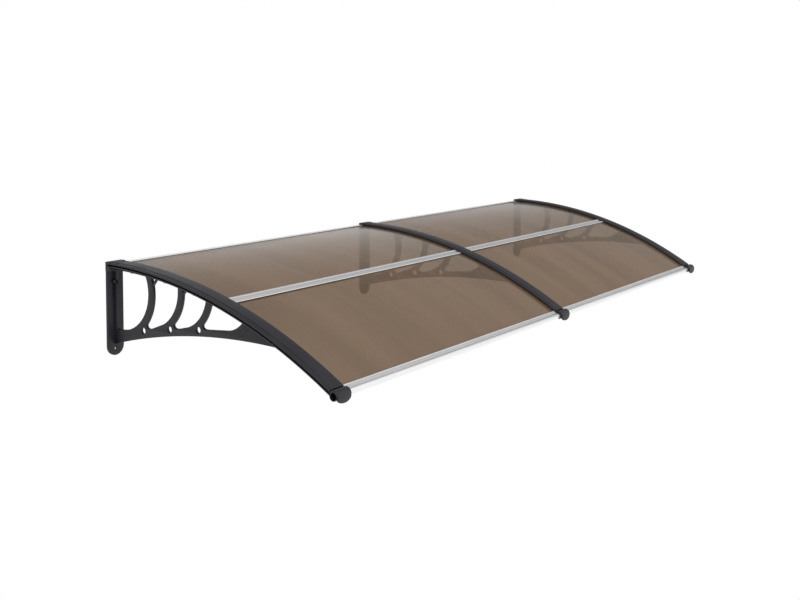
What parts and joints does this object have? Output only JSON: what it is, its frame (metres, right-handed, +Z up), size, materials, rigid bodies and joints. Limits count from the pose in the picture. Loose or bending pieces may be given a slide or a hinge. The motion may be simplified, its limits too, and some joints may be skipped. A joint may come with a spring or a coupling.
{
  "type": "door canopy",
  "caption": "Curved door canopy: bronze polycarbonate sheets between black moulded wall brackets with strutted webs, with aluminium front, rear and joining rails.",
  "frame": {"origin": "on the wall face of the middle bracket's plate, between its two screw holes", "axes": "+X along the canopy's width to the right seen from the front, +Y into the wall, +Z up; the roof reaches out towards -Y"},
  "size_m": [2, 0.705, 0.2267],
  "materials": {
    "bracket_plastic": "black moulded engineering plastic, satin, fine grain",
    "cover_plastic": "black moulded plastic strip, satin",
    "bronze_polycarbonate": "bronze tinted solid polycarbonate, fine pebbled face, see-through but blurred",
    "rail_aluminium": "extruded aluminium, natural anodised",
    "seal_rubber": "black rubber",
    "screw_steel": "zinc plated steel"
  },
  "bodies": {
    "root": {"bracket_left": "bracket_plastic", "cover_strip_left": "cover_plastic", "cover_screw_left_1": "screw_steel", "cover_screw_left_2": "screw_steel", "cover_screw_left_3": "screw_steel", "cover_screw_left_4": "screw_steel", "bracket_middle": "bracket_plastic", "cover_strip_middle": "cover_plastic", "cover_screw_middle_1": "screw_steel", "cover_screw_middle_2": "screw_steel", "cover_screw_middle_3": "screw_steel", "cover_screw_middle_4": "screw_steel", "bracket_right": "bracket_plastic", "cover_strip_right": "cover_plastic", "cover_screw_right_1": "screw_steel", "cover_screw_right_2": "screw_steel", "cover_screw_right_3": "screw_steel", "cover_screw_right_4": "screw_steel", "roof_sheet_left_rear": "bronze_polycarbonate", "roof_sheet_left_front": "bronze_polycarbonate", "joining_strip_left": "rail_aluminium", "front_rail_left": "rail_aluminium", "rear_rail_left": "rail_aluminium", "wall_seal_left": "seal_rubber", "roof_sheet_right_rear": "bronze_polycarbonate", "roof_sheet_right_front": "bronze_polycarbonate", "joining_strip_right": "rail_aluminium", "front_rail_right": "rail_aluminium", "rear_rail_right": "rail_aluminium", "wall_seal_right": "seal_rubber"}
  },
  "joints": []
}
